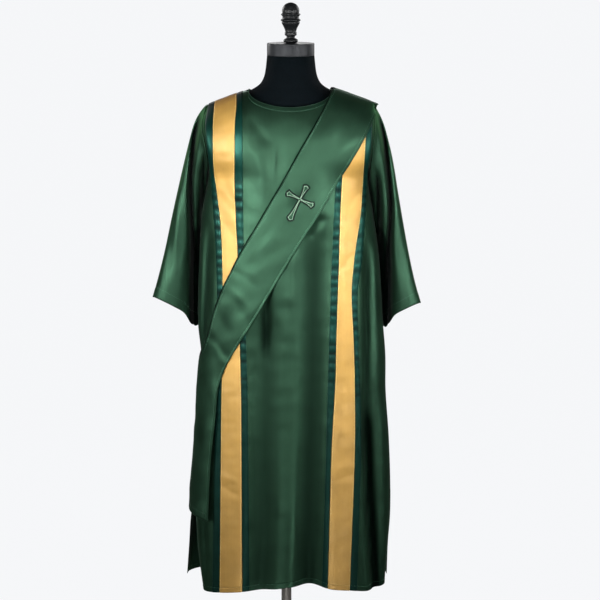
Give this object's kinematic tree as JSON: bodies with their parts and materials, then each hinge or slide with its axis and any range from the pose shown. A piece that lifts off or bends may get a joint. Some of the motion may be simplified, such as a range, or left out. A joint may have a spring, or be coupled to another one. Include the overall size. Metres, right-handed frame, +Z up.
{
  "type": "dalmatic with its stole on a dress form",
  "caption": "Knee-length green satin vestment with wide sleeves, gold and teal bands and a diagonal stole, worn on a limbless dress form that stands on a round base.",
  "frame": {"origin": "centre of the base's underside, on the floor; the bust and the vestment sit 11.5 mm to +X of the pole", "axes": "+Z up, -Y the front of the vestment, -X the wearer's right"},
  "size_m": [0.6701, 0.34, 1.6681],
  "materials": {
    "green_satin": "deep green satin with a soft sheen",
    "gold_satin": "gold duchess satin",
    "teal_ribbon": "dark teal green satin ribbon",
    "black_jersey": "matt black stretch jersey",
    "black_turned": "turned wood, painted black, satin",
    "cap_metal": "dark grey satin metal",
    "stand_metal": "grey taupe satin metal"
  },
  "bodies": {
    "root": {"front_panel": "green_satin", "back_panel": "green_satin", "sleeve_right": "green_satin", "sleeve_left": "green_satin", "neck_band_front": "green_satin", "neck_band_back": "green_satin", "stole_front": "green_satin", "stole_front_tail": "green_satin", "stole_back": "green_satin", "stole_back_tail": "green_satin", "gold_front_right": "gold_satin", "ribbon_front_right_outer": "teal_ribbon", "ribbon_front_right_inner": "teal_ribbon", "gold_front_left": "gold_satin", "ribbon_front_left_outer": "teal_ribbon", "ribbon_front_left_inner": "teal_ribbon", "gold_back_right": "gold_satin", "ribbon_back_right_outer": "teal_ribbon", "ribbon_back_right_inner": "teal_ribbon", "gold_back_left": "gold_satin", "ribbon_back_left_outer": "teal_ribbon", "ribbon_back_left_inner": "teal_ribbon", "bust": "black_jersey", "finial": "black_turned", "neck_cap": "cap_metal", "pole": "stand_metal", "base": "stand_metal"}
  },
  "joints": []
}
